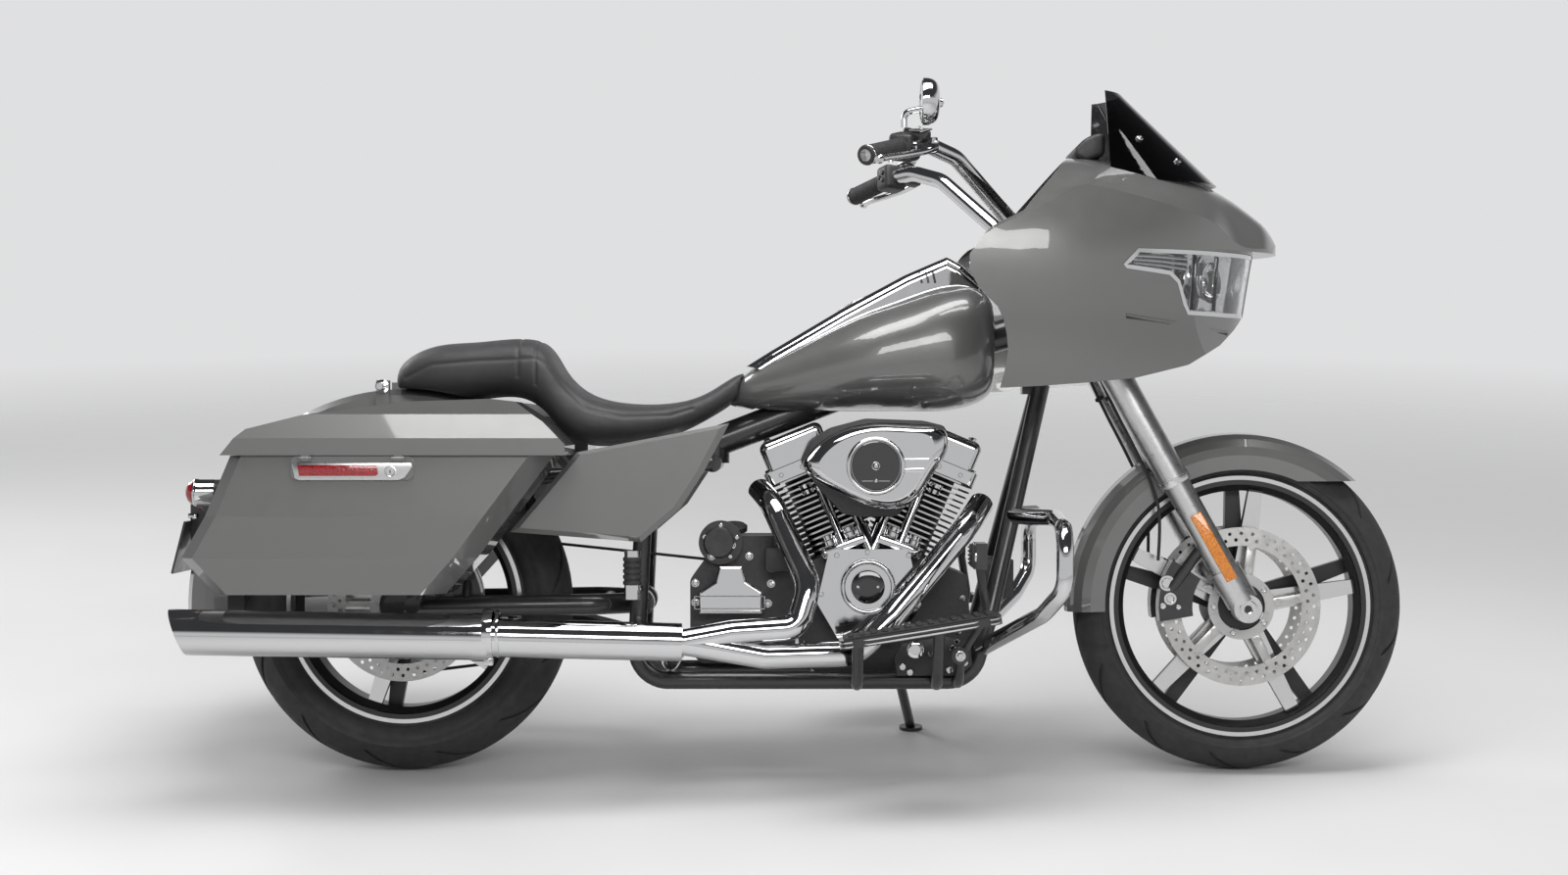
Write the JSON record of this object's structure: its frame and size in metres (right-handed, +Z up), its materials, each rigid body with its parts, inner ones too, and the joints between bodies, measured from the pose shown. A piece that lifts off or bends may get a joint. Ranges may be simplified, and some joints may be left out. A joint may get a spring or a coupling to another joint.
{
  "type": "touring cruiser motorcycle",
  "caption": "Touring cruiser motorcycle with a V engine, a frame-mounted fairing and hard lidded saddlebags, leaning on its side stand.",
  "frame": {"origin": "on the floor under the middle of the whole machine's box", "axes": "+X forward, +Y to the rider's left, +Z up; the machine leans to the left on its side stand"},
  "size_m": [2.3952, 1.0598, 1.3513],
  "materials": {
    "paint": "gloss",
    "chrome": "polished",
    "silver": "satin",
    "black_metal": "satin",
    "cast_black": "wrinkle",
    "steel": "brushed",
    "black_plastic": "matte",
    "rubber": "matte",
    "tyre": "matte",
    "leather": "satin",
    "tinted_glass": "clear",
    "clear_glass": "clear",
    "amber": "gloss",
    "red": "gloss"
  },
  "bodies": {
    "chassis": {"frame": "black_metal", "engine_guard": "chrome", "engine_case": "cast_black", "cylinders": "cast_black", "rocker_boxes": "chrome", "pushrod_tubes": "chrome", "air_cleaner": "chrome", "engine_covers": "chrome", "gearbox": "cast_black", "primary_cover": "chrome", "exhaust_headers": "chrome", "mufflers": "chrome", "fuel_tank": "paint", "tank_console": "chrome", "seat": "leather", "rear_fender": "paint", "side_covers": "paint", "saddlebag_right": "paint", "saddlebag_left": "paint", "fairing_shell": "paint", "inner_fairing": "black_plastic", "windshield": "tinted_glass", "headlamp": "clear_glass", "footboards": "rubber", "pedals": "black_metal", "passenger_pegs": "chrome", "swingarm": "black_metal", "shocks": "black_metal", "drive_belt": "rubber", "rear_caliper": "black_metal", "rear_lamps": "red"},
    "steering": {"triple_clamps": "black_metal", "fork_legs": "silver", "fork_reflectors": "amber", "handlebar": "chrome", "hand_controls": "black_plastic", "mirrors": "chrome", "front_fender": "paint", "front_calipers": "black_metal"},
    "front_wheel": {"front_tyre": "tyre", "front_wheel": "black_metal", "front_discs": "steel"},
    "rear_wheel": {"rear_tyre": "tyre", "rear_wheel": "black_metal", "rear_disc_and_pulley": "steel"},
    "side_stand": {"side_stand": "black_metal"},
    "lid_right": {"saddlebag_lid_right": "paint"},
    "lid_left": {"saddlebag_lid_left": "paint"},
    "fuel_door": {"fuel_door": "chrome"}
  },
  "joints": [
    {"name": "steering", "type": "hinge", "parent": "chassis", "child": "steering", "pos_m": [0.60699, -0.0147, 0.90114], "axis": [-0.4384, 0.1251, 0.89], "range_deg": [-30, 30]},
    {"name": "front_wheel_spin", "type": "hinge", "parent": "steering", "child": "front_wheel", "pos_m": [0.87658, -0.09657, 0.31855], "axis": [0, 0.9903, -0.1392], "continuous": true},
    {"name": "rear_wheel_spin", "type": "hinge", "parent": "chassis", "child": "rear_wheel", "pos_m": [-0.74842, -0.09625, 0.32089], "axis": [0, 0.9903, -0.1392], "continuous": true},
    {"name": "side_stand_fold", "type": "hinge", "parent": "chassis", "child": "side_stand", "pos_m": [0.21958, 0.0601, 0.16154], "axis": [0, 0.9903, -0.1392], "range_deg": [0, 80]},
    {"name": "saddlebag_lid_right", "type": "hinge", "parent": "chassis", "child": "lid_right", "pos_m": [-0.90742, -0.48708, 0.66559], "axis": [1, 0, 0], "range_deg": [0, 75]},
    {"name": "saddlebag_lid_left", "type": "hinge", "parent": "chassis", "child": "lid_left", "pos_m": [-0.90742, 0.37446, 0.54451], "axis": [-1, 0, 0], "range_deg": [0, 75]},
    {"name": "fuel_door", "type": "hinge", "parent": "chassis", "child": "fuel_door", "pos_m": [0.16312, -0.012, 0.92035], "axis": [0, 0.9903, -0.1392], "range_deg": [0, 95]}
  ]
}
